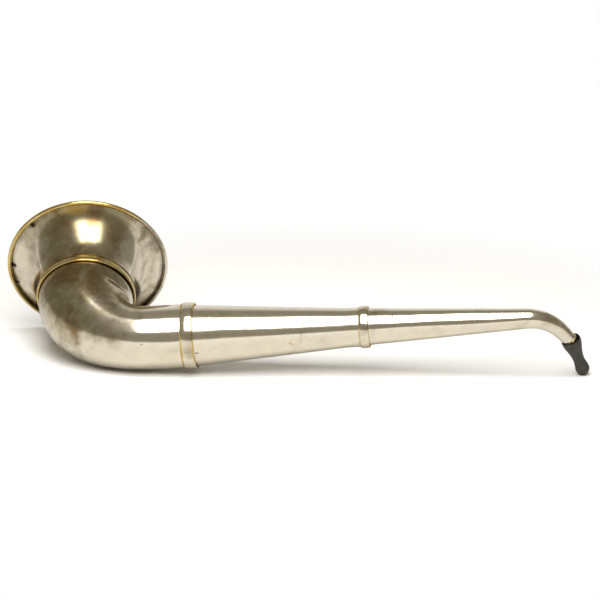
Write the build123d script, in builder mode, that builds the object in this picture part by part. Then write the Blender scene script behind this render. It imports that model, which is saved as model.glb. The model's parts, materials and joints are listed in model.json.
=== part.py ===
"""Take-apart ear trumpet of nickel-plated sheet brass, lying at rest on a level surface.

A spun bell stands on a bent elbow, a long cone runs from the elbow to a tapered gooseneck, and the
gooseneck ends in a black hard-rubber ear tip. Each section plugs into the next with a hidden stepped
sleeve, under a rounded collar, so that every section can be turned and pulled off.

The centreline is worked out in the horn frame: +X along the long cone towards the ear, the origin on
that axis at the elbow's edge of its collar, and the gooseneck bending towards -Z. The trumpet is then
drawn as it rests, on its bell rim, its body and its ear tip, with Z = 0 at the surface, X along the
cone and the origin below the middle of the whole trumpet.
"""

import os
from math import cos, radians, sin

from build123d import *

# ---- Driving dimensions, in millimetres and degrees ----
wall = 0.6                      # sheet brass of every shell
running_gap = 0.05              # radial gap of a sleeve or bush that turns
solder_gap = 0.05               # radial gap filled with solder, between pieces that don't move
step_height = 0.4               # gap between two sections' edges, filled by the sleeve's step
section_step = 0.9              # how much narrower a section is than the one that it plugs into

# Bell: a spun flare on a short cylindrical neck, its edge rolled outwards over a wire
bell_rim_radius = 62.0          # outside of the rolled edge
bell_depth = 41.5               # collar lip to the middle of the rolled edge
bell_neck_radius = 36.9         # outside of the neck cylinder
bell_neck_length = 6.0
bell_flare_bend = 12.0          # radius where the neck opens into the flare
bell_flare_angle = 10.0         # slope of the cone that the flare starts with
bell_cone_length = 5.0          # length of that cone
rim_wire_radius = 1.05
rim_roll = 285.0                # how far the edge is rolled round the wire

# Elbow: a bent tube that widens from the horn to the bell
elbow_outlet_radius = 24.0      # outside, at the horn
elbow_bell_radius = bell_neck_radius - section_step
elbow_bend_radius = 52.0        # of the centreline
elbow_angle = 86.0
elbow_outlet_length = 27.6      # straight run beside the horn collar
elbow_bell_length = 3.0         # straight run outside the bell's collar
elbow_roll = 93.5               # bend plane, turned from the gooseneck's bend plane
elbow_stations = 11             # sections along the bend
elbow_swell = 1.2               # how late in the bend the tube widens: 1 is evenly

# Collars: rounded bands soldered on the wide side of each joint, with an overhanging lip
neck_collar_width = 6.4
neck_collar_lip = 3.4
elbow_collar_width = 9.5
elbow_collar_lip = 5.0
horn_collar_width = 7.2
horn_collar_lip = 3.8
collar_edge = 0.6               # thickness at both edges
collar_crown = 1.1              # thickness at the middle

# Horn: the long cone, with a cylindrical socket at its small end
horn_length = 123.0             # between the two collars
horn_large_radius = elbow_outlet_radius - section_step
horn_small_radius = 14.8
horn_socket_length = 13.0

# Gooseneck: a tapered tube that bends down at its ear end
gooseneck_large_radius = horn_small_radius - section_step
gooseneck_bend_start_radius = 7.6
gooseneck_end_radius = 5.4
gooseneck_length = 116.2        # horn collar to the start of the bend
gooseneck_bend_radius = 31.0
gooseneck_angle = 53.5
gooseneck_tail = 10.5           # straight run after the bend
gooseneck_stations = 9

# Stepped sleeves between the sections
sleeve_insert = 12.0            # length inside the wide section
sleeve_seat = 9.0               # length inside the narrow section
neck_sleeve_insert = 6.0
neck_sleeve_seat = 6.0

# Cap and nipple at the gooseneck's end, which carry the ear tip
cap_bead = 0.1                  # how far the cap stands out past the tube
cap_thickness = 1.2
cap_edge_fillet = 0.25
cap_spigot = 3.0
nipple_radius = 3.0
nipple_bore_radius = 2.4
nipple_inside = 9.0             # length inside the gooseneck
nipple_turn = 0.8               # cap to the corner where the nipple turns
nipple_bend_radius = 4.0
nipple_end_gap = 0.3            # nipple's end to the bush's end

# Ear tip: turned hard rubber with a cup at the mouth and a bulb at the ear
tip_tilt = 21.0                 # ear tip's axis turned down from the gooseneck's end
tip_seat = 1.7                  # nipple's corner past the mouth
tip_cup_gap = 1.3               # gooseneck's end to the cup's mouth
tip_cup_radius = gooseneck_end_radius + tip_cup_gap
tip_lip = 0.7                   # thickness of the cup's lip
tip_lip_height = 1.5
tip_mouth_radius = tip_cup_radius + tip_lip
tip_cup_taper = 0.8             # how much narrower the cup is at its floor
tip_cup_depth = 5.5
tip_shoulder_radius = 5.75
tip_shoulder_height = 10.0
tip_waist_radius = 4.3
tip_waist_height = 19.0
tip_bulb_radius = 5.3
tip_bulb_height = 28.3          # mouth to the bulb's centre
tip_bore_radius = 1.9
tip_nose_angle = 68.0           # where the bulb's arc ends in the flat round the bore
bush_radius = 3.6
bush_length = 6.5
bush_end_gap = 0.05


# ---- Centreline, in the horn frame ----
class Bend:
    """A circular bend of the centreline: it leaves start along heading and turns towards inside."""

    def __init__(self, start, heading, inside, radius, angle):
        self.start, self.heading, self.inside = start, heading, inside
        self.radius, self.angle = radius, angle

    def heading_at(self, turned):
        return self.heading * cos(radians(turned)) + self.inside * sin(radians(turned))

    def point_at(self, turned):
        along = self.radius * sin(radians(turned))
        across = self.radius * (1 - cos(radians(turned)))
        return self.start + self.heading * along + self.inside * across

    def stations(self, count):
        return [self.angle * i / (count - 1) for i in range(count)]


ear_way = Vector(1, 0, 0)
down_way = Vector(0, 0, -1)
elbow_inside = Vector(0, sin(radians(elbow_roll)), -cos(radians(elbow_roll)))
elbow_bend = Bend(ear_way * -elbow_outlet_length, -ear_way, elbow_inside, elbow_bend_radius, elbow_angle)
bell_way = elbow_bend.heading_at(elbow_angle)
bell_lip = elbow_bend.point_at(elbow_angle) + bell_way * elbow_bell_length

elbow_end = elbow_collar_width - elbow_collar_lip
horn_start = elbow_end + step_height
horn_collar_start = elbow_collar_width + horn_length
horn_end = horn_collar_start + horn_collar_width - horn_collar_lip
horn_socket_start = horn_end - horn_socket_length
gooseneck_start = horn_end + step_height
gooseneck_bend_start = horn_collar_start + horn_collar_width + gooseneck_length
gooseneck_bend = Bend(
    ear_way * gooseneck_bend_start, ear_way, down_way, gooseneck_bend_radius, gooseneck_angle
)
end_way = gooseneck_bend.heading_at(gooseneck_angle)
tube_end = gooseneck_bend.point_at(gooseneck_angle) + end_way * gooseneck_tail
nipple_corner = tube_end + end_way * (cap_thickness + nipple_turn)
tip_way = gooseneck_bend.heading_at(gooseneck_angle + tip_tilt)
tip_mouth = nipple_corner - tip_way * tip_seat
tip_across = gooseneck_bend.heading.cross(gooseneck_bend.inside)
bush_start = tip_cup_depth + bush_end_gap
bush_end = bush_start + bush_length


def elbow_radius(turned):
    """Outside radius in the elbow's bend: it leaves both ends level, and widens late in the bend."""
    share = (turned / elbow_angle) ** elbow_swell
    return elbow_outlet_radius + (elbow_bell_radius - elbow_outlet_radius) * share**2 * (3 - 2 * share)


def cone_radius(x, start, start_radius, end, end_radius):
    """Outside radius at x, on a cone between two ends."""
    return start_radius + (end_radius - start_radius) * (x - start) / (end - start)


# ---- Rest: the surface that the bell rim, the body and the ear tip touch ----
roll_radius = rim_wire_radius + running_gap + wall / 2      # of the rolled sheet's middle
rim_ring_radius = bell_rim_radius - roll_radius - wall / 2
rim_bead = bell_rim_radius - rim_ring_radius
rim_ring = (bell_lip + bell_way * bell_depth, bell_way, rim_ring_radius, rim_bead)
elbow_collar_crown = elbow_outlet_radius + solder_gap + collar_crown
body_rings = [(ear_way * (elbow_collar_width / 2), ear_way, elbow_collar_crown, 0)]
for turned in elbow_bend.stations(8 * elbow_stations):
    body_rings.append((elbow_bend.point_at(turned), elbow_bend.heading_at(turned), elbow_radius(turned), 0))
bulb_ring = (tip_mouth + tip_way * tip_bulb_height, tip_way, 0, tip_bulb_radius)


def furthest_point(rings, way):
    """The point furthest along way on rings, each a centre, an axis, a radius and a bead's radius."""
    points = []
    for centre, axis, radius, bead in rings:
        across = way - axis * way.dot(axis)
        points.append(centre + across.normalized() * radius + way * bead)
    return max(points, key=way.dot)


up = -down_way
for _ in range(60):                     # each turn tips the surface towards its three feet
    rim_foot, body_foot, bulb_foot = (
        furthest_point(rings, -up) for rings in ([rim_ring], body_rings, [bulb_ring])
    )
    normal = (bulb_foot - body_foot).cross(rim_foot - body_foot).normalized()
    up = (up + normal).normalized()

forward = (ear_way - up * ear_way.dot(up)).normalized()
sideways = up.cross(forward)
every_ring = [rim_ring, bulb_ring] + body_rings
middle = body_foot
for way in (forward, sideways):
    ends = furthest_point(every_ring, way).dot(way), furthest_point(every_ring, -way).dot(way)
    middle = middle + way * (sum(ends) / 2 - middle.dot(way))


def at_rest(way):
    """A direction of the horn frame, as it lies at rest."""
    return Vector(way.dot(forward), way.dot(sideways), way.dot(up))


def frame_at(point, z_way, x_way):
    """A plane across the centreline, at rest, from a point and two directions of the horn frame."""
    return Plane(at_rest(point - middle), x_dir=at_rest(x_way), z_dir=at_rest(z_way))


def side_of(frame):
    """The plane that holds frame's axis: its X is a radius, and its Y runs along the axis."""
    return Plane(frame.origin, x_dir=frame.x_dir, z_dir=frame.x_dir.cross(frame.z_dir))


def axis_of(frame):
    return Axis(frame.origin, frame.z_dir)


def bend_frame(bend, turned):
    return frame_at(bend.point_at(turned), bend.heading_at(turned), bend.heading.cross(bend.inside))


def cone_frame(x, way):
    """A plane across the long cone's axis at x, facing along way."""
    return frame_at(ear_way * x, way, down_way)


def collar_outline(bore, width):
    """Half section of a rounded collar, from its lip at height 0."""
    Polyline((bore + collar_edge, 0), (bore, 0), (bore, width), (bore + collar_edge, width))
    ThreePointArc((bore + collar_edge, width), (bore + collar_crown, width / 2), (bore + collar_edge, 0))


def sleeve_outline(insert, seat, socket_radius, seat_radius, seat_end_radius):
    """Half section of a stepped sleeve: wide above its step, for the socket, and narrow below it."""
    wide, narrow, end = (r - wall - running_gap for r in (socket_radius, seat_radius, seat_end_radius))
    Polyline(
        (wide, step_height), (wide, insert), (wide - wall, insert), (wide - wall, step_height),
        (narrow - wall, 0), (end - wall, -seat), (end, -seat), (narrow, 0),
        close=True,
    )


# ---- Bell ----
bell_frame = frame_at(bell_lip, bell_way, elbow_bend.heading.cross(elbow_bend.inside))
bell_neck_line = bell_neck_radius - wall / 2
rim_middle = Vector(rim_ring_radius, bell_depth)
flare_way = Vector(sin(radians(bell_flare_angle)), cos(radians(bell_flare_angle)))
neck_end = Vector(bell_neck_line, neck_collar_lip + bell_neck_length)
flare_start = neck_end + flare_way * bell_cone_length
flare_run = rim_middle - flare_start
flare_inward = Vector(flare_way.Y, -flare_way.X)        # towards the middle of the flare's arc
flare_radius = (flare_run.length**2 - roll_radius**2) / (2 * (flare_run.dot(flare_inward) - roll_radius))
flare_middle = flare_start + flare_inward * flare_radius
flare_turn = flare_inward.get_angle(flare_middle - rim_middle)      # the arc ends level with the roll

with BuildPart() as bell:
    with BuildSketch(side_of(bell_frame)):
        with BuildLine():
            neck = FilletPolyline(
                (bell_neck_line, neck_collar_lip),
                (neck_end.X, neck_end.Y),
                (flare_start.X, flare_start.Y),
                radius=bell_flare_bend,
            )
            flare = JernArc(neck @ 1, neck % 1, flare_radius, -flare_turn)
            JernArc(flare @ 1, flare % 1, roll_radius, -rim_roll)
        trace(line_width=wall)
    revolve(axis=axis_of(bell_frame))
bell.part.label = "bell"

with BuildPart() as bell_rim_wire:
    with BuildSketch(side_of(bell_frame)):
        with Locations((rim_middle.X, rim_middle.Y)):
            Circle(rim_wire_radius)
    revolve(axis=axis_of(bell_frame))
bell_rim_wire.part.label = "bell_rim_wire"

with BuildPart() as neck_collar:
    with BuildSketch(side_of(bell_frame)):
        with BuildLine():
            collar_outline(bell_neck_radius + solder_gap, neck_collar_width)
        make_face()
    revolve(axis=axis_of(bell_frame))
neck_collar.part.label = "neck_collar"

neck_sleeve_frame = bell_frame.offset(neck_collar_lip - step_height)
with BuildPart() as neck_sleeve:
    with BuildSketch(side_of(neck_sleeve_frame)):
        with BuildLine():
            sleeve_outline(
                neck_sleeve_insert, neck_sleeve_seat, bell_neck_radius, elbow_bell_radius, elbow_bell_radius
            )
        make_face()
    revolve(axis=axis_of(neck_sleeve_frame))
neck_sleeve.part.label = "neck_sleeve"

# ---- Elbow ----
with BuildPart() as elbow:
    for turned in elbow_bend.stations(elbow_stations):
        with BuildSketch(bend_frame(elbow_bend, turned)):
            Circle(elbow_radius(turned))
    loft()
    for turned in elbow_bend.stations(elbow_stations):
        with BuildSketch(bend_frame(elbow_bend, turned)):
            Circle(elbow_radius(turned) - wall)
    loft(mode=Mode.SUBTRACT)
    with BuildSketch(cone_frame(elbow_end, -ear_way)):
        Circle(elbow_outlet_radius)
        Circle(elbow_outlet_radius - wall, mode=Mode.SUBTRACT)
    extrude(amount=elbow_end + elbow_outlet_length)
    with BuildSketch(bend_frame(elbow_bend, elbow_angle)):
        Circle(elbow_bell_radius)
        Circle(elbow_bell_radius - wall, mode=Mode.SUBTRACT)
    extrude(amount=elbow_bell_length + neck_collar_lip - step_height)
elbow.part.label = "elbow"

with BuildPart() as elbow_collar:
    with BuildSketch(side_of(cone_frame(0, ear_way))):
        with BuildLine():
            collar_outline(elbow_outlet_radius + solder_gap, elbow_collar_width)
        make_face()
    revolve(axis=axis_of(cone_frame(0, ear_way)))
elbow_collar.part.label = "elbow_collar"

# ---- Horn ----
horn_cone = horn_start, horn_large_radius, horn_socket_start, horn_small_radius
with BuildPart() as horn:
    with BuildSketch(side_of(cone_frame(0, ear_way))):
        with BuildLine():
            Polyline(
                (horn_large_radius, horn_start), (horn_small_radius, horn_socket_start),
                (horn_small_radius, horn_end), (horn_small_radius - wall, horn_end),
                (horn_small_radius - wall, horn_socket_start), (horn_large_radius - wall, horn_start),
                close=True,
            )
        make_face()
    revolve(axis=axis_of(cone_frame(0, ear_way)))
horn.part.label = "horn"

with BuildPart() as horn_sleeve:
    with BuildSketch(side_of(cone_frame(horn_start, -ear_way))):
        with BuildLine():
            sleeve_outline(
                sleeve_insert, sleeve_seat, elbow_outlet_radius, horn_large_radius,
                cone_radius(horn_start + sleeve_seat, *horn_cone),
            )
        make_face()
    revolve(axis=axis_of(cone_frame(horn_start, -ear_way)))
horn_sleeve.part.label = "horn_sleeve"

with BuildPart() as horn_collar:
    with BuildSketch(side_of(cone_frame(horn_collar_start, ear_way))):
        with BuildLine():
            collar_outline(horn_small_radius + solder_gap, horn_collar_width)
        make_face()
    revolve(axis=axis_of(cone_frame(horn_collar_start, ear_way)))
horn_collar.part.label = "horn_collar"

# ---- Gooseneck ----
gooseneck_cone = gooseneck_start, gooseneck_large_radius, gooseneck_bend_start, gooseneck_bend_start_radius
gooseneck_run = (gooseneck_bend_radius * radians(gooseneck_angle)) + gooseneck_tail
gooseneck_sections = []
for turned in gooseneck_bend.stations(gooseneck_stations):
    gooseneck_sections.append((bend_frame(gooseneck_bend, turned), gooseneck_bend_radius * radians(turned)))
end_frame = frame_at(tube_end, end_way, tip_across)
bend_cone = 0, gooseneck_bend_start_radius, gooseneck_run, gooseneck_end_radius
bend_end_radius = cone_radius(gooseneck_run - gooseneck_tail, *bend_cone)

with BuildPart() as gooseneck:
    for frame, run in gooseneck_sections:
        with BuildSketch(frame):
            Circle(cone_radius(run, *bend_cone))
    loft()
    for frame, run in gooseneck_sections:
        with BuildSketch(frame):
            Circle(cone_radius(run, *bend_cone) - wall)
    loft(mode=Mode.SUBTRACT)
    with BuildSketch(side_of(end_frame)):
        with BuildLine():
            Polyline(
                (bend_end_radius, -gooseneck_tail), (gooseneck_end_radius, 0),
                (gooseneck_end_radius - wall, 0), (bend_end_radius - wall, -gooseneck_tail),
                close=True,
            )
        make_face()
    revolve(axis=axis_of(end_frame))
    with BuildSketch(side_of(cone_frame(0, ear_way))):
        with BuildLine():
            Polyline(
                (gooseneck_large_radius, gooseneck_start),
                (gooseneck_bend_start_radius, gooseneck_bend_start),
                (gooseneck_bend_start_radius - wall, gooseneck_bend_start),
                (gooseneck_large_radius - wall, gooseneck_start),
                close=True,
            )
        make_face()
    revolve(axis=axis_of(cone_frame(0, ear_way)))
gooseneck.part.label = "gooseneck"

with BuildPart() as gooseneck_sleeve:
    with BuildSketch(side_of(cone_frame(gooseneck_start, -ear_way))):
        with BuildLine():
            sleeve_outline(
                sleeve_insert, sleeve_seat, horn_small_radius, gooseneck_large_radius,
                cone_radius(gooseneck_start + sleeve_seat, *gooseneck_cone),
            )
        make_face()
    revolve(axis=axis_of(cone_frame(gooseneck_start, -ear_way)))
gooseneck_sleeve.part.label = "gooseneck_sleeve"

# ---- Cap and nipple at the gooseneck's end ----
cap_bore = nipple_radius + solder_gap
spigot_radius = gooseneck_end_radius - wall - solder_gap
cap_radius = gooseneck_end_radius + cap_bead
with BuildPart() as gooseneck_cap:
    with BuildSketch(side_of(end_frame)):
        with BuildLine():
            Polyline(
                (cap_bore, -cap_spigot), (spigot_radius, -cap_spigot), (spigot_radius, 0), (cap_radius, 0),
                (cap_radius, cap_thickness), (cap_bore, cap_thickness),
                close=True,
            )
        cap_corner = make_face().vertices().sort_by(lambda v: v.X + v.Y)[-1]
        fillet(cap_corner, cap_edge_fillet)
    revolve(axis=axis_of(end_frame))
gooseneck_cap.part.label = "gooseneck_cap"

nipple_frame = frame_at(tube_end - end_way * nipple_inside, end_way, tip_across)
nipple_end = tip_mouth + tip_way * (bush_end - nipple_end_gap)
with BuildPart() as nipple:
    with BuildLine():
        FilletPolyline(
            nipple_frame.origin, at_rest(nipple_corner - middle), at_rest(nipple_end - middle),
            radius=nipple_bend_radius,
        )
    with BuildSketch(nipple_frame):
        Circle(nipple_radius)
        Circle(nipple_bore_radius, mode=Mode.SUBTRACT)
    sweep()
nipple.part.label = "nipple"

# ---- Ear tip ----
tip_frame = frame_at(tip_mouth, tip_way, tip_across)
with BuildPart() as ear_tip:
    with BuildSketch(side_of(tip_frame)):
        with BuildLine():
            lip = Line((tip_cup_radius, 0), ((tip_cup_radius + tip_mouth_radius) / 2, 0))
            Spline(
                lip @ 1, (tip_mouth_radius, tip_lip_height), (tip_shoulder_radius, tip_shoulder_height),
                (tip_waist_radius, tip_waist_height), (tip_bulb_radius, tip_bulb_height),
                tangents=((1, 0), (0, 1)),
            )
            nose = CenterArc((0, tip_bulb_height), tip_bulb_radius, 0, tip_nose_angle)
            Polyline(
                nose @ 1, (tip_bore_radius, (nose @ 1).Y), (tip_bore_radius, bush_end + bush_end_gap),
                (bush_radius + solder_gap, bush_end + bush_end_gap),
                (bush_radius + solder_gap, tip_cup_depth), (tip_cup_radius - tip_cup_taper, tip_cup_depth),
                lip @ 0,
            )
        make_face()
    revolve(axis=axis_of(tip_frame))
ear_tip.part.label = "ear_tip"

with BuildPart() as ear_tip_bush:
    with BuildSketch(tip_frame.offset(bush_start)):
        Circle(bush_radius)
        Circle(nipple_radius + running_gap, mode=Mode.SUBTRACT)
    extrude(amount=bush_length)
ear_tip_bush.part.label = "ear_tip_bush"

# ---- Files ----
os.makedirs("parts", exist_ok=True)
export_step(bell.part, "parts/bell.step")
export_step(bell_rim_wire.part, "parts/bell_rim_wire.step")
export_step(neck_collar.part, "parts/neck_collar.step")
export_step(neck_sleeve.part, "parts/neck_sleeve.step")
export_step(elbow.part, "parts/elbow.step")
export_step(elbow_collar.part, "parts/elbow_collar.step")
export_step(horn.part, "parts/horn.step")
export_step(horn_sleeve.part, "parts/horn_sleeve.step")
export_step(horn_collar.part, "parts/horn_collar.step")
export_step(gooseneck.part, "parts/gooseneck.step")
export_step(gooseneck_sleeve.part, "parts/gooseneck_sleeve.step")
export_step(gooseneck_cap.part, "parts/gooseneck_cap.step")
export_step(nipple.part, "parts/nipple.step")
export_step(ear_tip.part, "parts/ear_tip.step")
export_step(ear_tip_bush.part, "parts/ear_tip_bush.step")

# ---- Places that the record needs, in millimetres at rest ----
tip_end_height = tip_bulb_height + tip_bulb_radius * sin(radians(tip_nose_angle))
for name, frame in (
    ("bell collar lip", bell_frame),
    ("bell mouth", bell_frame.offset(bell_depth)),
    ("elbow collar", cone_frame(0, ear_way)),
    ("horn sleeve", cone_frame(horn_start, ear_way)),
    ("gooseneck sleeve", cone_frame(gooseneck_start, ear_way)),
    ("ear tip mouth", tip_frame),
    ("ear tip bore", tip_frame.offset((bush_end + bush_end_gap + tip_end_height) / 2)),
    ("ear tip end", tip_frame.offset(tip_end_height)),
):
    place = tuple(round(value, 4) for value in frame.origin)
    way = tuple(round(value, 6) for value in frame.z_dir)
    print(f"{name}: {place} along {way}")
for name, foot in (("rim", rim_foot), ("body", body_foot), ("bulb", bulb_foot)):
    print(f"{name} foot: {tuple(round(value, 3) for value in at_rest(foot - middle))}")
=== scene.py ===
"""Looks of a take-apart ear trumpet: worn nickel plate over sheet brass, and a hard-rubber ear tip.

The CAD model gives every place. The visible shells are drawn again here as fine parametric surfaces,
with the small faults of hand-worked sheet: ripples, a dented elbow, a chipped rolled edge and solder.
Lengths are in metres. Every surface is a grid of points worked out with numpy.
"""

import json

import bpy
import numpy as np
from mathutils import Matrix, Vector


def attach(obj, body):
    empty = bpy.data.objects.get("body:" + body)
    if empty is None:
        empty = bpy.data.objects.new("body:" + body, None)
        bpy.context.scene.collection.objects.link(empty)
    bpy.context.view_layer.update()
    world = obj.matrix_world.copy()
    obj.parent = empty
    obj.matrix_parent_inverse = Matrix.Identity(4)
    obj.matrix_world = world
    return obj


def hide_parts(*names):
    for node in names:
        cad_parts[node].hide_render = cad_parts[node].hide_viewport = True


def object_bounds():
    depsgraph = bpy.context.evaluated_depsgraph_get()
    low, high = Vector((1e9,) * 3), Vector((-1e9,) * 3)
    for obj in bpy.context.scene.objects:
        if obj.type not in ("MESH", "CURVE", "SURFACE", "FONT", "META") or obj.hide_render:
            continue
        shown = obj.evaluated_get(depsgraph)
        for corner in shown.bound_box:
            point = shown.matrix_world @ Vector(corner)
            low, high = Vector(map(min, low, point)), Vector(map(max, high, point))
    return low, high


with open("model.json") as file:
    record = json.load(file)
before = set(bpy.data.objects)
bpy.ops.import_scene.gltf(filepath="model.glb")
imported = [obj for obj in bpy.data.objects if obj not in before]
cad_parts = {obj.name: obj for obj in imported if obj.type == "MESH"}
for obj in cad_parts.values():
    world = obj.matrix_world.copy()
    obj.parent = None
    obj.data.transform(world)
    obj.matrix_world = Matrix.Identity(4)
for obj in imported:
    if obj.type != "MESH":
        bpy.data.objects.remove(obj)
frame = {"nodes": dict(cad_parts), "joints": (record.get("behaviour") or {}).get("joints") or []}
cad_low, cad_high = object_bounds()
mm = 0.001

# ---- Sizes of the sheet work, as in the CAD model ----
wall = 0.6 * mm
solder_gap = 0.05 * mm
rim_radius = 62.0 * mm
rim_wire = 1.1 * mm
rim_clearance = 0.006 * mm
bell_depth = 41.5 * mm
bell_neck = 36.9 * mm
bell_neck_length = 6.0 * mm
bell_flare_bend = 12.0 * mm
bell_flare_angle = np.radians(10.0)
bell_cone_length = 5.0 * mm
neck_collar_width = 6.4 * mm
neck_collar_lip = 3.4 * mm
elbow_outlet = 24.0 * mm
elbow_wide = 36.0 * mm
elbow_bend = 52.0 * mm
elbow_angle = np.radians(86.0)
elbow_straight = 27.6 * mm
elbow_swell = 1.2
elbow_end = 4.5 * mm
elbow_bell_end = 6.0 * mm
elbow_collar_width = 9.5 * mm
horn_start = 4.9 * mm
horn_large = 23.1 * mm
horn_small = 14.8 * mm
horn_collar_start = 132.5 * mm
horn_collar_width = 7.2 * mm
horn_end = 135.9 * mm
horn_socket = 13.0 * mm
gooseneck_start = 136.3 * mm
gooseneck_large = 13.9 * mm
gooseneck_bend_start = 255.9 * mm
gooseneck_middle = 7.6 * mm
gooseneck_tip = 5.4 * mm
gooseneck_bend = 31.0 * mm
gooseneck_angle = np.radians(53.5)
gooseneck_tail = 10.5 * mm
tip_bulb = 5.29 * mm
tip_bulb_height = 28.3 * mm
tip_nose_angle = np.radians(66)


# ---- Places, from the joints of the CAD model ----
def unit(vector):
    """The vector divided by its own length."""
    vector = np.asarray(vector, float)
    return vector / np.linalg.norm(vector)


joints = {joint["name"]: joint for joint in frame["joints"]}
ear_way = unit(joints["horn_turn"]["axis"])
cone_origin = np.array(joints["horn_turn"]["pos_m"]) - ear_way * horn_start
bell_way = unit(joints["bell_turn"]["axis"])
bell_lip = np.array(joints["bell_turn"]["pos_m"])
tip_way = unit(joints["ear_tip_turn"]["axis"])
tip_mouth = np.array(joints["ear_tip_turn"]["pos_m"])
elbow_inside = unit(bell_way - ear_way * bell_way.dot(ear_way))
down_way = unit(tip_way - ear_way * tip_way.dot(ear_way))


# ---- Numbers spread over a surface ----
def smoothstep(low, high, value):
    """0 below low, 1 above high, and a cubic with level ends between them."""
    share = np.clip((value - low) / (high - low), 0, 1)
    return share * share * (3 - 2 * share)


def bump_at(value, centre, width):
    """A bell curve of height 1 about centre: e to the power of minus the squared distance in widths."""
    return np.exp(-(((value - centre) / width) ** 2))


def angle_apart(angle, centre):
    """Signed angle from centre to angle, the short way round."""
    return (angle - centre + np.pi) % (2 * np.pi) - np.pi


def patch(angle, degrees, width):
    """A bell curve of height 1 about an angle in degrees, with its width in radians."""
    return bump_at(angle_apart(angle, np.radians(degrees)), 0, width)


def turns(count):
    """Equal steps round one full turn, as a column of angles."""
    return np.linspace(0, 2 * np.pi, count, endpoint=False)[:, None]


def ripple(seed, angle, along, waves=9, pitch=18 * mm):
    """Sum of sines round and along a shell, with whole numbers round it, between about -1 and 1."""
    draw = np.random.default_rng(seed)
    total = np.zeros(np.broadcast(angle, along).shape)
    for _ in range(waves):
        round_count, long_count = draw.integers(1, 6), draw.uniform(0.3, 1.6)
        phases = draw.uniform(0, 2 * np.pi, 2)
        round_wave = np.sin(round_count * angle + phases[0])
        total += round_wave * np.sin(long_count * along / pitch + phases[1])
    return total / np.sqrt(waves)


def specks(angle, along, radius, marks):
    """Small round marks on a shell: each has a place along it, an angle in degrees and a size."""
    total = np.zeros(np.broadcast(angle, along).shape)
    for place, degrees, size in marks:
        apart = angle_apart(angle, np.radians(degrees)) * radius
        total += bump_at(along, place * mm, size * mm) * bump_at(apart, 0, size * mm)
    return total


# ---- Profiles ----
def filleted(points, bends, steps=14):
    """A profile of straight runs joined by tangent arcs of the given radii."""
    points = [np.array(point, float) for point in points]
    line = [points[0]]
    for before, corner, after, bend in zip(points, points[1:], points[2:], bends):
        arriving, leaving = unit(corner - before), unit(after - corner)
        turn = np.arccos(np.clip(arriving.dot(leaving), -1, 1))
        side = np.sign(arriving[0] * leaving[1] - arriving[1] * leaving[0])
        start = corner - arriving * bend * np.tan(turn / 2)
        centre = start + side * bend * np.array([-arriving[1], arriving[0]])
        offset = start - centre
        spun = side * np.linspace(0, turn, steps)
        across_it = offset[0] * np.cos(spun) - offset[1] * np.sin(spun)
        up_it = offset[0] * np.sin(spun) + offset[1] * np.cos(spun)
        line.extend(centre + np.stack([across_it, up_it], -1))
    line.append(points[-1])
    return np.array(line)


def evenly(line, spacing):
    """The same open profile with its points at an even spacing."""
    lengths = np.r_[0, np.cumsum(np.linalg.norm(np.diff(line, axis=0), axis=1))]
    places = np.linspace(0, lengths[-1], max(2, int(round(lengths[-1] / spacing)) + 1))
    return np.stack([np.interp(places, lengths, line[:, k]) for k in range(line.shape[1])], -1)


def spline(points, count):
    """A smooth line through points: each span is a cubic that leaves its ends at the neighbours' slope."""
    points = np.array(points, float)
    slopes = np.gradient(points, axis=0)
    t = np.linspace(0, 1, count, endpoint=False)[:, None]
    line = []
    for k in range(len(points) - 1):
        leaving = (1 + 2 * t) * (1 - t) ** 2 * points[k] + t * (1 - t) ** 2 * slopes[k]
        arriving = t**2 * (3 - 2 * t) * points[k + 1] - t**2 * (1 - t) * slopes[k + 1]
        line.append(leaving + arriving)
    return np.concatenate(line + [points[-1:]])


# ---- Grids of points ----
def out_and_back(outer, inner):
    """An outer grid followed by the inner one reversed, which goes once round a sheet's section."""
    return np.concatenate([outer, inner[:, ::-1]], 1)


def across(way):
    """Two unit vectors across way: the first points down as far as it can."""
    down = unit(np.array([0, 0, -1.0]) - way * -way[2])
    return down, np.cross(way, down)


def revolved(origin, way, radius, height, angle):
    """Points at radius and height about an axis: origin + height along it + radius along a spoke."""
    first, second = across(way)
    spoke = np.cos(angle)[..., None] * first + np.sin(angle)[..., None] * second
    return origin + height[..., None] * way + radius[..., None] * spoke


def bent_tube(places, start, heading, inside, bend, radius, angle):
    """A tube's wall carried along a straight, an arc and a straight.

    places holds the length before the arc, the angle turned in it and the length after it. A centre is
    the arc's own point, moved back or on along the tangent at its end. A point is its centre plus radius
    along a spoke, which starts at the inside of the bend. The inner wall is the same, one wall less.
    """
    before, turned, after = (np.asarray(part)[:, None] for part in places)
    inward = np.cos(turned) * inside - np.sin(turned) * heading
    end_way = np.cos(turned[-1]) * heading + np.sin(turned[-1]) * inside
    centre = start + bend * (np.sin(turned) * heading + (1 - np.cos(turned)) * inside)
    centre = centre - heading * before + end_way * after
    side = np.cross(heading, inside)
    spoke = np.cos(angle)[..., None] * inward[None] + np.sin(angle)[..., None] * side
    return out_and_back(centre + radius[..., None] * spoke, centre + (radius - wall)[..., None] * spoke)


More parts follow.
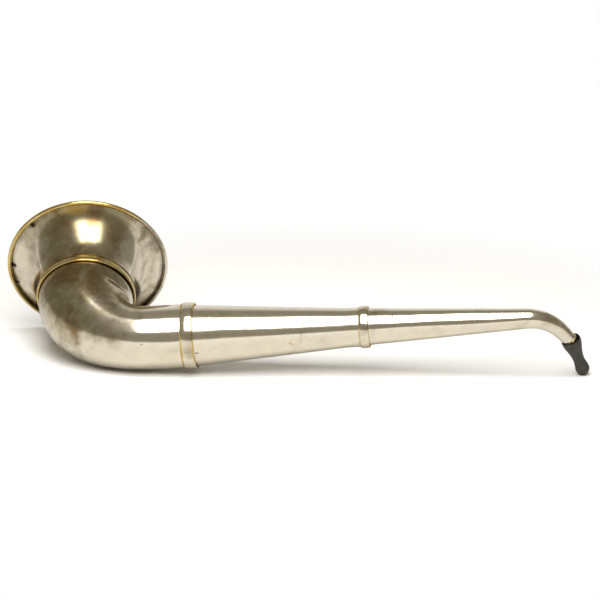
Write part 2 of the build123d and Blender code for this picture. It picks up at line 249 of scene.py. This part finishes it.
def surface(name, points, body, slot, replaced=(), **masks):
    """A mesh through a grid of points that closes in both directions, with masks stored on its points.

    The sum of the faces' triple products is six times the volume, so a negative sum turns them round.
    """
    rows, columns = points.shape[:2]
    row, column = np.meshgrid(np.arange(rows), np.arange(columns), indexing="ij")
    next_row, next_column = (row + 1) % rows, (column + 1) % columns
    corners = [row * columns + column, next_row * columns + column]
    corners += [next_row * columns + next_column, row * columns + next_column]
    faces = np.stack(corners, -1).reshape(-1, 4)
    flat = points.reshape(-1, 3)
    first, second, third, fourth = (flat[faces[:, k]] for k in range(4))
    volume = (np.cross(first, second) * third).sum() + (np.cross(first, third) * fourth).sum()
    if volume < 0:
        faces = faces[:, ::-1]
    mesh = bpy.data.meshes.new(name)
    mesh.vertices.add(len(flat))
    mesh.vertices.foreach_set("co", flat.astype(np.float32).ravel())
    mesh.loops.add(faces.size)
    mesh.loops.foreach_set("vertex_index", faces.astype(np.int32).ravel())
    mesh.polygons.add(len(faces))
    mesh.polygons.foreach_set("loop_start", np.arange(0, faces.size, 4, dtype=np.int32))
    mesh.update(calc_edges=True)
    mesh.shade_smooth()
    for mask, values in masks.items():
        attribute = mesh.attributes.new(mask, "FLOAT", "POINT")
        spread = np.broadcast_to(values, (rows, columns))
        attribute.data.foreach_set("value", spread.astype(np.float32).ravel())
    piece = bpy.data.objects.new(name, mesh)
    bpy.context.scene.collection.objects.link(piece)
    mesh.materials.append(materials[slot])
    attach(piece, body)
    if replaced:
        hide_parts(*replaced)
    return piece


# ---- Materials ----
class Graph:
    """The nodes of a material or a world, made one by one and joined by their inputs."""

    def __init__(self, owner):
        owner.use_nodes = True
        self.owner = owner
        self.tree = owner.node_tree
        self.tree.nodes.clear()
        self.place = self.add("ShaderNodeTexCoord").outputs["Object"]

    def add(self, kind, inputs=None, **settings):
        """A node whose inputs are each a link, when given a socket, or a plain value."""
        made = self.tree.nodes.new(kind)
        for key, value in settings.items():
            setattr(made, key, value)
        for key, value in (inputs or {}).items():
            if isinstance(value, bpy.types.NodeSocket):
                self.tree.links.new(value, made.inputs[key])
            else:
                made.inputs[key].default_value = value
        return made

    def noise(self, scale, detail=3.0, roughness=0.55, place=None, distortion=0.0):
        """Fractal noise between 0 and 1."""
        settings = {"Scale": scale, "Detail": detail, "Roughness": roughness, "Distortion": distortion}
        made = self.add("ShaderNodeTexNoise", {"Vector": place or self.place, **settings})
        return made.outputs["Fac"]

    def stretched(self, way, along, round_it):
        """Object coordinates turned so that X runs along way, and squeezed unevenly."""
        turn = Vector(way).to_track_quat("X", "Z").inverted().to_euler()
        turned = self.add("ShaderNodeMapping", {"Vector": self.place, "Rotation": turn})
        squeeze = {"Vector": turned.outputs[0], "Scale": (along, round_it, round_it)}
        return self.add("ShaderNodeMapping", squeeze).outputs[0]

    def mask(self, name):
        """A mask that surface() stored on the points."""
        return self.add("ShaderNodeAttribute", attribute_name=name).outputs["Fac"]

    def math(self, operation, first, second=0.0, clamp=False):
        """One sum of two numbers."""
        sums = {0: first, 1: second}
        return self.add("ShaderNodeMath", sums, operation=operation, use_clamp=clamp).outputs[0]

    def ramp(self, value, low, high):
        """0 below low and 1 above high, with level ends."""
        limits = {"Value": value, "From Min": low, "From Max": high}
        return self.add("ShaderNodeMapRange", limits, interpolation_type="SMOOTHSTEP").outputs[0]

    def blend(self, share, first, second):
        """A number between first and second."""
        limits = {"Value": share, "To Min": first, "To Max": second}
        return self.add("ShaderNodeMapRange", limits).outputs[0]

    def mix(self, share, first, second):
        """A colour between first and second."""
        ends = {0: share, 6: first, 7: second}
        return self.add("ShaderNodeMix", ends, data_type="RGBA").outputs[2]

    def bump(self, height, strength, distance, normal=None):
        """A surface direction tilted by a height, on top of another one where it is given."""
        inputs = {"Height": height, "Strength": strength, "Distance": distance}
        if normal:
            inputs["Normal"] = normal
        return self.add("ShaderNodeBump", inputs).outputs[0]

    def finish(self, shade, rough, normal, metallic):
        """The shader and the output, which complete a material."""
        looks = {"Base Color": shade, "Roughness": rough, "Normal": normal, "Metallic": metallic}
        shader = self.add("ShaderNodeBsdfPrincipled", looks)
        self.add("ShaderNodeOutputMaterial", {"Surface": shader.outputs[0]})
        return self.owner


def colour(red, green, blue):
    """A colour given as 0 to 255 display values."""
    shares = np.array([red, green, blue]) / 255
    linear = np.where(shares <= 0.04045, shares / 12.92, ((shares + 0.055) / 1.055) ** 2.4)
    return (*linear, 1.0)


fresh_plate = colour(238, 228, 209)
handled_plate = tuple(0.93 * part for part in fresh_plate[:3]) + (1.0,)
# Tarnished colours; on the bell they also carry painted shade
olive_tarnish = colour(148, 134, 94)
brown_tarnish = colour(132, 98, 56)
light_brass = colour(236, 214, 152)
deep_brass = colour(204, 170, 98)
rust_brown = colour(112, 78, 40)
# Near black, for painted shade in creases and gaps and also for dirt and dark marks
black_grime = colour(38, 33, 24)


def plated(name, way, tarnish=0.0, worn=0.0, gloss=0.105):
    """Nickel plate over brass: clouded olive and brown where tarnished, scratched, and worn to brass. Masks
    add painted shade: near black in creases and gaps, and more olive where less light falls on the bell.
    """
    g = Graph(bpy.data.materials.new(name))
    clouds = g.noise(26, 5, 0.62, distortion=0.6)
    mottle = g.noise(115, 4, 0.6)
    grains = g.noise(900, 2, 0.5)
    lines = g.noise(1.0, 3, 0.6, g.stretched(way, 9, 1500))
    rubbed = g.noise(1.0, 3, 0.6, g.stretched(way, 260, 700))
    # Dull places, some of them brown: tarnished, and on the bell also painted shade from the mask
    dull = g.math("ADD", g.math("MULTIPLY", clouds, 0.75), g.math("MULTIPLY", mottle, 0.25))
    dull = g.math("ADD", dull, g.math("MULTIPLY", g.mask("tarnish"), 0.34))
    dull = g.ramp(dull, 0.56 - tarnish, 0.86 - tarnish)
    brown = g.math("MULTIPLY", g.ramp(g.noise(48, 4, 0.6, distortion=0.4), 0.44, 0.68), dull)
    shade = g.mix(g.ramp(mottle, 0.3, 0.7), fresh_plate, handled_plate)
    shade = g.mix(g.math("MULTIPLY", dull, 0.85), shade, olive_tarnish)
    shade = g.mix(g.math("MULTIPLY", brown, 0.75), shade, brown_tarnish)
    # Places worn through to the brass
    bare = g.math("ADD", g.math("MULTIPLY", mottle, 0.5), g.math("MULTIPLY", g.mask("worn"), 0.8))
    bare = g.ramp(g.math("ADD", bare, worn), 0.62, 0.92)
    brass = g.mix(g.ramp(clouds, 0.35, 0.65), light_brass, deep_brass)
    shade = g.mix(bare, shade, brass)
    # Small spots, and painted shade in the creases and gaps between parts, mixed with real dirt and dark
    # marks
    spots = g.math("MULTIPLY", g.ramp(grains, 0.70, 0.76), g.ramp(mottle, 0.46, 0.6))
    shade = g.mix(g.math("MULTIPLY", spots, 0.6), shade, rust_brown)
    grime = g.ramp(g.math("ADD", g.mask("grime"), g.math("MULTIPLY", mottle, 0.35)), 0.45, 0.95)
    shade = g.mix(grime, shade, black_grime)
    # Gloss, soft unevenness and fine scratches
    rough = g.math("ADD", g.blend(dull, gloss, gloss + 0.09), g.math("MULTIPLY", rubbed, 0.06))
    rough = g.math("ADD", rough, g.math("MULTIPLY", grime, 0.35), clamp=True)
    normal = g.bump(clouds, 0.25, 0.25 * mm)
    scratches = g.math("ADD", lines, g.math("MULTIPLY", grains, 0.35))
    normal = g.bump(scratches, 0.06, 0.02 * mm, normal)
    return g.finish(shade, rough, normal, 1.0)


def hard_rubber(name, way):
    """Turned hard rubber: near black, browned by light, with faint turning lines and handling marks."""
    g = Graph(bpy.data.materials.new(name))
    clouds = g.noise(190, 4, 0.6)
    grains = g.noise(2600, 2, 0.5)
    turned = g.noise(1.0, 2, 0.5, g.stretched(way, 5200, 40))
    shade = g.mix(g.ramp(clouds, 0.35, 0.7), colour(46, 44, 41), colour(66, 61, 53))
    shade = g.mix(g.math("MULTIPLY", g.ramp(grains, 0.6, 0.75), 0.4), shade, colour(98, 94, 86))
    # Darker brown where the mask is set, inside the sound hole and the cup
    shade = g.mix(g.ramp(g.mask("grime"), 0.1, 0.9), shade, colour(30, 22, 15))
    rough = g.math("ADD", g.blend(clouds, 0.34, 0.5), g.math("MULTIPLY", turned, 0.08))
    normal = g.bump(g.math("ADD", turned, g.math("MULTIPLY", grains, 0.4)), 0.12, 0.03 * mm)
    return g.finish(shade, rough, normal, 0.0)


materials = {
    "nickel_plate": plated("nickel_plate", ear_way),
    "worn_nickel_band": plated("worn_nickel_band", ear_way, worn=0.02, gloss=0.1),
    "worn_brass": plated("worn_brass", bell_way, tarnish=0.05, worn=0.55, gloss=0.13),
    "bare_brass": plated("bare_brass", ear_way, tarnish=0.1, worn=0.7, gloss=0.3),
    "hard_rubber": hard_rubber("hard_rubber", tip_way),
}
bell_plate = plated("bell_plate", bell_way, tarnish=0.07)


# ---- Bell ----
def bell_profile(ring):
    """The sheet's middle line from the lip to the roll, and the direction in which the roll starts.

    It is the neck, a bend, a short cone and one arc. The arc leaves along the cone and ends tangent to
    the roll: its centre lies across the cone's end, as far away as makes its distance to the roll's
    centre its own radius less the roll's.
    """
    roll = rim_wire + wall / 2
    middle = np.array([ring, bell_depth])
    neck = bell_neck - wall / 2
    neck_end = np.array([neck, neck_collar_lip + bell_neck_length])
    leaving = np.array([np.sin(bell_flare_angle), np.cos(bell_flare_angle)])
    inward = np.array([leaving[1], -leaving[0]])
    flare_start = neck_end + leaving * bell_cone_length
    run = middle - flare_start
    flare = (run.dot(run) - roll**2) / (2 * (run.dot(inward) - roll))
    flare_middle = flare_start + flare * inward
    first = np.arctan2(-inward[1], -inward[0])
    last = np.arctan2(middle[1] - flare_middle[1], middle[0] - flare_middle[0])
    arc = np.linspace(first, last, 60)[1:, None]
    arc = flare_middle + flare * np.concatenate([np.cos(arc), np.sin(arc)], 1)
    neck_line = filleted([(neck, neck_collar_lip), neck_end, flare_start], [bell_flare_bend])
    return evenly(np.concatenate([neck_line, arc]), 0.8 * mm), last


def make_bell():
    """The flare turned about the bell's axis, its edge rolled round the wire to an uneven end.

    The roll is a circle about the wire. It stops early at three chips, where the wire shows.
    """
    angle = turns(320)
    roll = rim_wire + wall / 2
    roll_steps = 40
    ring = rim_radius - roll - wall / 2 - rim_clearance
    line, roll_start = bell_profile(ring)
    along = np.gradient(line, axis=0)
    along /= np.linalg.norm(along, axis=1)[:, None]
    outward = np.stack([along[:, 1], -along[:, 0]], -1)
    chips = 1.1 * patch(angle, 91, 0.022) + 0.9 * patch(angle, 134, 0.035) + 0.8 * patch(angle, 74, 0.02)
    end = np.radians(292) - np.radians(24) * chips + np.radians(5) * ripple(3, angle, 0 * angle)
    spun = roll_start - np.linspace(0, 1, roll_steps)[None, :] * end
    radii, heights = [], []
    for side in (1, -1):
        offset = roll - side * wall / 2
        flat = (line + side * wall / 2 * outward)[:-1]
        radii.append(np.concatenate([flat[:, 0] + 0 * angle, ring + offset * np.cos(spun)], 1))
        heights.append(np.concatenate([flat[:, 1] + 0 * angle, bell_depth + offset * np.sin(spun)], 1))
    radius, height = out_and_back(*radii), out_and_back(*heights)
    level = smoothstep(0, 0.2, np.minimum(1, (bell_depth - height) / bell_depth))
    level = level * smoothstep(8 * mm, 20 * mm, height)
    radius = radius + 0.1 * mm * ripple(11, angle, height) * level

    column = np.arange(radius.shape[1])
    flat_count = len(line) - 1
    bead = ((column >= flat_count) & (column < flat_count + 2 * roll_steps)).astype(float)
    rim_share = height / bell_depth
    yellow = 0.35 + 0.65 * smoothstep(-0.35, 0.35, np.cos(angle_apart(angle, np.radians(125))))
    worn = bead * yellow + 0.35 * yellow * smoothstep(0.86, 0.97, rim_share) * (1 - bead)
    worn = worn + 0.5 * patch(angle, 172, 0.25) * smoothstep(0.7, 0.95, rim_share)
    # Painted shade in the hollow behind the rolled edge and on the rolled-under end of the roll, deeper at
    # the chips
    crease_shade = smoothstep(0.93, 0.985, rim_share) * (1 - bead)
    tucked_shade = (column > flat_count + 34) * bead
    grime = crease_shade * (0.45 + 0.35 * np.clip(chips, 0, 1)) + 0.27 * tucked_shade
    # Partly tarnished, partly painted light: more olive at the top and bottom of the bell, lighter at the
    # sides where the light falls
    tarnish = 0.75 - 0.6 * smoothstep(0.55, 0.95, np.abs(np.sin(angle)))
    points = revolved(bell_lip, bell_way, radius, height, angle + 0 * radius)
    piece = surface(
        "bell_shell", points, "bell", "nickel_plate", ["bell"], worn=worn, grime=grime, tarnish=tarnish
    )
    piece.data.materials[0] = bell_plate


# ---- Collars and solder ----
def make_collar(name, replaced, body, slot, origin, way, bore, width, lip_at_end, worn_edges, seed):
    """A band about an axis with a parabola's crown, its edges worn and its lip curled in a little.

    The outside stands over the bore by an edge's thickness, plus a rise that falls off with the square
    of the distance from the middle. The lip is the end that stands over the next section.
    """
    edge_thickness, crown_rise, edge_round, curl_depth = 0.6 * mm, 0.5 * mm, 0.12 * mm, 0.55 * mm
    angle = turns(240)
    bore += solder_gap
    place = np.linspace(0, width, 22)
    crown = crown_rise * (1 - (2 * place / width - 1) ** 2)
    outer = np.stack([bore + edge_thickness + crown, place], -1)
    outer[[0, -1], 0] -= edge_round
    curl = [(bore - curl_depth, 0.1 * mm), (bore - curl_depth, 0.8 * mm), (bore, 1.3 * mm)]
    if lip_at_end:
        inner = [(radius, width - height) for radius, height in curl] + [(bore, width * 0.4), (bore, 0)]
    else:
        inner = [(bore, width), (bore, width * 0.6)] + curl[::-1]
    profile = np.concatenate([outer, inner])
    outside = np.arange(len(profile)) < len(outer)
    radius = profile[:, 0] + 0.05 * mm * ripple(seed, angle, profile[:, 1]) * outside
    height = profile[:, 1] + 0 * angle
    edge = 2 * np.abs(height / width - 0.5)
    uneven = ripple(seed + 1, angle, height, pitch=6 * mm)
    worn = worn_edges * smoothstep(0.62, 0.92, edge + 0.12 * uneven)
    # Painted shade on the bore and the curled lip, in the gap between band and tube
    grime = 0.6 * (radius <= bore + 0.01 * mm)
    points = revolved(origin, way, radius, height, angle + 0 * radius)
    surface(name, points, body, slot, [replaced], worn=worn, grime=grime, tarnish=0.3)


def make_solder(name, body, origin, way, radius, thickness, seed):
    """A thin wavy ring of solder along a collar's edge: an ellipse carried round the axis."""
    angle = turns(300)
    spin = np.linspace(0, 2 * np.pi, 10, endpoint=False)[None, :]
    fat = thickness * (1 + 0.35 * ripple(seed, angle, 0 * angle, waves=14))
    shift = 0.3 * mm * ripple(seed + 5, 3 * angle, 0 * angle)
    ring = radius + fat * np.cos(spin) * 0.8
    height = shift + fat * np.sin(spin)
    points = revolved(origin, way, ring, height, angle + 0 * ring)
    surface(name, points, body, "bare_brass", worn=0.3, grime=0.35, tarnish=0.6)


# ---- Elbow ----
def elbow_radius(turned):
    """Outside radius in the bend: it leaves both ends level, and widens late in the bend."""
    share = np.clip(turned / elbow_angle, 0, 1) ** elbow_swell
    return elbow_outlet + (elbow_wide - elbow_outlet) * share**2 * (3 - 2 * share)


def make_elbow():
    """The bent tube, with the ripples of hand bending and a dent inside the bend by the bell."""
    angle = turns(256)
    arc = elbow_bend * elbow_angle
    bend_start = elbow_end + elbow_straight
    total = bend_start + arc + elbow_bell_end
    place = np.linspace(0, total, int(total / (1.1 * mm)))
    before = bend_start - np.clip(place, 0, bend_start)
    turned = np.clip((place - bend_start) / elbow_bend, 0, elbow_angle)
    after = np.clip(place - bend_start - arc, 0, None)
    to_bell = total - place
    radius = elbow_radius(turned)[None] + 0 * angle
    level = smoothstep(0, 12 * mm, place) * smoothstep(0, 12 * mm, to_bell)
    radius = radius + 0.28 * mm * ripple(21, angle, place, pitch=24 * mm) * level
    radius = radius + 0.10 * mm * ripple(22, 2 * angle, place, pitch=8 * mm) * level
    dent = 2.6 * mm * patch(angle, -38, 0.36) * bump_at(to_bell, 19 * mm, 9 * mm)
    fold_angle = np.radians(-62) + 0.9 * (to_bell / (30 * mm))
    fold = 0.35 * mm * bump_at(angle_apart(angle, fold_angle), 0, 0.15)
    fold = fold * smoothstep(5 * mm, 11 * mm, to_bell) * smoothstep(40 * mm, 24 * mm, to_bell)
    lip = 0.5 * mm * patch(angle, -38, 0.45) * smoothstep(14 * mm, 2 * mm, to_bell)
    radius = radius - dent - fold - lip
    start = cone_origin - ear_way * elbow_straight
    points = bent_tube((before, turned, after), start, -ear_way, elbow_inside, elbow_bend, radius, angle)

    # Duller and more olive on the upper side of the bend, away from the straight end
    upper = smoothstep(-0.1, 0.75, -np.sin(angle)) * smoothstep(20 * mm, 60 * mm, place)
    tarnish = 0.2 + 0.75 * upper
    # Painted shade in the gap where the elbow's end goes into the neck collar; the speck at 208 degrees is
    # a real dark mark
    lip_gap_shade = smoothstep(4.5 * mm, 2.4 * mm, to_bell)
    grime = 0.95 * lip_gap_shade * (0.35 + 0.65 * patch(angle, -35, 0.7))
    grime = grime + specks(angle, place, radius, [(33, 208, 0.8)])
    surface(
        "elbow_shell", points, "elbow", "nickel_plate", ["elbow"],
        tarnish=out_and_back(tarnish, tarnish), grime=out_and_back(grime, grime),
    )


# ---- Horn and gooseneck ----
def make_horn():
    """The long cone with its cylindrical socket, slightly out of round, turned about the cone's axis."""
    angle = turns(256)
    corners = [(horn_large, horn_start), (horn_small, horn_end - horn_socket), (horn_small, horn_end)]
    outer = evenly(np.array(corners), 1.2 * mm)
    inner = outer - np.array([wall, 0])
    radius, place = np.concatenate([outer, inner[::-1]]).T
    level = smoothstep(horn_start + 8 * mm, horn_start + 30 * mm, place)
    level = level * smoothstep(horn_end - 8 * mm, horn_end - 24 * mm, place)
    wavy = radius + 0.08 * mm * ripple(31, angle, place, pitch=26 * mm) * level
    points = revolved(cone_origin, ear_way, wavy, place + 0 * angle, angle + 0 * wavy)

    tarnish = 0.1 * ripple(32, angle, place, pitch=30 * mm)
    long_rub = [(80.4, -77, 0.9), (81.4, -73.5, 0.9), (83.2, -71, 0.9)]
    small_rubs = [(101.6, -72, 0.8), (24, -78, 0.7), (62, -88, 0.6)]
    worn = specks(angle, place, radius, long_rub + small_rubs)
    # Painted shade on the horn beside the elbow band's edge; the two specks are real dark marks
    grime = 0.3 * smoothstep(elbow_collar_width + 1.0 * mm, elbow_collar_width, place)
    grime = grime + specks(angle, place, radius, [(11.2, -71, 0.8), (12.8, -71, 0.7)])
    surface("horn_shell", points, "horn", "nickel_plate", ["horn"], worn=worn, tarnish=tarnish, grime=grime)


def make_gooseneck():
    """The tapered tube and its bend, carried along the centreline."""
    angle = turns(192)
    straight = gooseneck_bend_start - gooseneck_start
    arc = gooseneck_bend * gooseneck_angle
    total = straight + arc + gooseneck_tail
    place = np.unique(np.r_[np.linspace(0, straight, 100), np.linspace(straight, total, 60)])
    before = straight - np.clip(place, 0, straight)
    turned = np.clip((place - straight) / gooseneck_bend, 0, gooseneck_angle)
    after = np.clip(place - straight - arc, 0, None)
    taper = np.interp(place, [0, straight, total], [gooseneck_large, gooseneck_middle, gooseneck_tip])
    level = smoothstep(8 * mm, 24 * mm, place) * smoothstep(0, 10 * mm, total - place)
    radius = taper + 0.09 * mm * ripple(41, angle, place, pitch=22 * mm) * level
    start = cone_origin + ear_way * gooseneck_bend_start
    points = bent_tube((before, turned, after), start, ear_way, down_way, gooseneck_bend, radius, angle)

    outside_bend = smoothstep(straight + 4 * mm, straight + 18 * mm, place) * np.clip(-np.cos(angle), 0, 1)
    tarnish = 0.15 + 0.6 * outside_bend
    # Painted shade where the gooseneck goes into the horn band; the speck is a real dark mark
    grime = 0.3 * smoothstep(4.6 * mm, 3.6 * mm, place) + specks(angle, place, radius, [(23, -125, 0.7)])
    rubs = [(straight / mm + 22, -150, 1.8), (straight / mm + 3, -80, 0.7)]
    worn = specks(angle, place, radius, rubs)
    surface(
        "gooseneck_shell", points, "gooseneck", "nickel_plate", ["gooseneck"],
        worn=out_and_back(worn, worn), tarnish=out_and_back(tarnish, tarnish),
        grime=out_and_back(grime, grime),
    )


# ---- Ear tip ----
def make_ear_tip():
    """Turned hard rubber about its axis: the cup, its lip, the waist, the bulb and the sound hole."""
    angle = turns(160)
    side = [(7.05, 0.0), (7.35, 0.9), (7.38, 2.4), (6.9, 5.6), (5.75, 10.0)]
    side += [(4.72, 14.6), (4.3, 19.0), (4.62, 23.4), (5.14, 26.4), (5.3, 28.3)]
    side = spline(side, 8) * mm
    nose = np.linspace(0, tip_nose_angle, 16)[1:, None]
    nose = np.concatenate([tip_bulb * np.cos(nose), tip_bulb_height + tip_bulb * np.sin(nose)], 1)
    end = nose[-1, 1] / mm
    hole = [(2.05, end + 0.05), (1.9, end - 0.25), (1.9, 20), (1.9, 12.15)]
    cup = [(3.65, 12.15), (3.65, 5.5), (5.9, 5.5), (6.3, 4.2), (6.55, 2.0), (6.68, 0.5), (6.8, 0.08)]
    bore = np.array(hole + cup) * mm
    profile = np.concatenate([side, nose, bore])
    radius, height = profile[:, 0] + 0 * angle, profile[:, 1] + 0 * angle
    # Darker brown inside the sound hole and the cup
    inside = np.arange(len(profile)) >= len(side) + len(nose)
    points = revolved(tip_mouth, tip_way, radius, height, angle + 0 * radius)
    surface("ear_tip_turned", points, "ear_tip", "hard_rubber", ["ear_tip"], grime=inside.astype(float))


make_bell()
make_elbow()
make_horn()
make_gooseneck()
make_ear_tip()
horn_band_edge = cone_origin + ear_way * horn_collar_start
make_collar(
    "neck_bead", "neck_collar", "bell", "worn_brass", bell_lip, bell_way,
    bell_neck, neck_collar_width, lip_at_end=False, worn_edges=0.3, seed=51,
)
make_collar(
    "elbow_band", "elbow_collar", "elbow", "worn_nickel_band", cone_origin, ear_way,
    elbow_outlet, elbow_collar_width, lip_at_end=True, worn_edges=0.9, seed=61,
)
make_collar(
    "horn_band", "horn_collar", "horn", "worn_nickel_band", horn_band_edge, ear_way,
    horn_small, horn_collar_width, lip_at_end=True, worn_edges=0.8, seed=71,
)
make_solder("elbow_band_solder", "elbow", cone_origin, ear_way, elbow_outlet + 0.15 * mm, 0.35 * mm, 81)
make_solder("horn_band_solder", "horn", horn_band_edge, ear_way, horn_small + 0.1 * mm, 0.28 * mm, 91)

# The inner brass work is the CAD model's own
inner_brass = {
    "bell_rim_wire": "bare_brass",
    "neck_sleeve": "bare_brass",
    "horn_sleeve": "bare_brass",
    "gooseneck_sleeve": "bare_brass",
    "gooseneck_cap": "worn_brass",
    "nipple": "bare_brass",
    "ear_tip_bush": "bare_brass",
}
for name, slot in inner_brass.items():
    node = frame["nodes"][name]
    node.data.materials.clear()
    node.data.materials.append(materials[slot])


# ---- Floor, light and camera ----
def make_floor():
    """A pale level floor that keeps the shadow, and fades to white for the camera further out."""
    half, fade_start, fade_end = 1.2, 0.24, 0.42
    g = Graph(bpy.data.materials.new("pale_floor"))
    seen = g.add("ShaderNodeLightPath").outputs["Is Camera Ray"]
    shade = g.mix(seen, (0.70, 0.70, 0.69, 1), (1, 1, 1, 1))
    lit = g.add("ShaderNodeBsdfDiffuse", {"Color": shade})
    white = g.add("ShaderNodeEmission", {"Color": (1, 1, 1, 1)})
    distance = g.add("ShaderNodeVectorMath", {0: g.place}, operation="LENGTH").outputs["Value"]
    far = g.math("MULTIPLY", g.ramp(distance, fade_start, fade_end), seen)
    mixed = g.add("ShaderNodeMixShader", {0: far, 1: lit.outputs[0], 2: white.outputs[0]})
    g.add("ShaderNodeOutputMaterial", {"Surface": mixed.outputs[0]})
    corners = [(-half, -half, 0), (half, -half, 0), (half, half, 0), (-half, half, 0)]
    mesh = bpy.data.meshes.new("floor")
    mesh.from_pydata(corners, [], [(0, 1, 2, 3)])
    mesh.materials.append(g.owner)
    floor = bpy.data.objects.new("floor", mesh)
    floor.location.z = cad_low.z - 0.02 * mm
    bpy.context.scene.collection.objects.link(floor)


def make_world():
    """White where the camera sees past the floor; a pale sweep behind and a dim room in front otherwise."""
    world = bpy.data.worlds.new("studio")
    bpy.context.scene.world = world
    g = Graph(world)
    way = g.add("ShaderNodeTexCoord").outputs["Generated"]
    split = g.add("ShaderNodeSeparateXYZ", {0: way})
    behind = g.ramp(split.outputs["Y"], 0.50, 0.92)
    below = g.math("LESS_THAN", split.outputs["Z"], 0.0)
    pale = g.math("MAXIMUM", behind, below)
    room = g.mix(pale, (0.27, 0.255, 0.21, 1), (0.84, 0.83, 0.81, 1))
    seen = g.add("ShaderNodeLightPath").outputs["Is Camera Ray"]
    light = g.add("ShaderNodeBackground", {"Color": g.mix(seen, room, (1, 1, 1, 1))})
    g.add("ShaderNodeOutputWorld", {"Surface": light.outputs[0]})


def heading(azimuth, elevation):
    """Unit vector from the object to a place at these angles in degrees; 0, 0 is straight in front."""
    a, e = np.radians(azimuth), np.radians(elevation)
    return Vector((np.sin(a) * np.cos(e), -np.cos(a) * np.cos(e), np.sin(e)))


def stand(holder, aim, back, distance):
    """Put a lamp or a camera at a distance from aim, looking back at it."""
    holder.location = aim + back * distance
    holder.rotation_euler = back.to_track_quat("Z", "Y").to_euler()
    bpy.context.scene.collection.objects.link(holder)


def make_softbox():
    """One rectangular lamp, high in front of the object."""
    lamp = bpy.data.lights.new("softbox", "AREA")
    lamp.shape = "RECTANGLE"
    lamp.size, lamp.size_y, lamp.energy = 0.75, 1.05, 17.5
    lamp.color = (1.0, 0.995, 0.985)
    holder = bpy.data.objects.new("softbox", lamp)
    stand(holder, Vector((0, 0, 0.03)), heading(0, 58), 1.15)


def make_camera():
    """A long lens a little above the horn and turned a little towards its ear end."""
    lens = bpy.data.cameras.new("camera")
    lens.lens, lens.sensor_width = 180, 36
    camera = bpy.data.objects.new("camera", lens)
    stand(camera, Vector((-0.00703, 0.151, 0.00126)), heading(4.698, 16.245), 2.4354)
    bpy.context.scene.camera = camera


make_floor()
make_world()
make_softbox()
make_camera()
bpy.context.scene.view_settings.view_transform = "Standard"
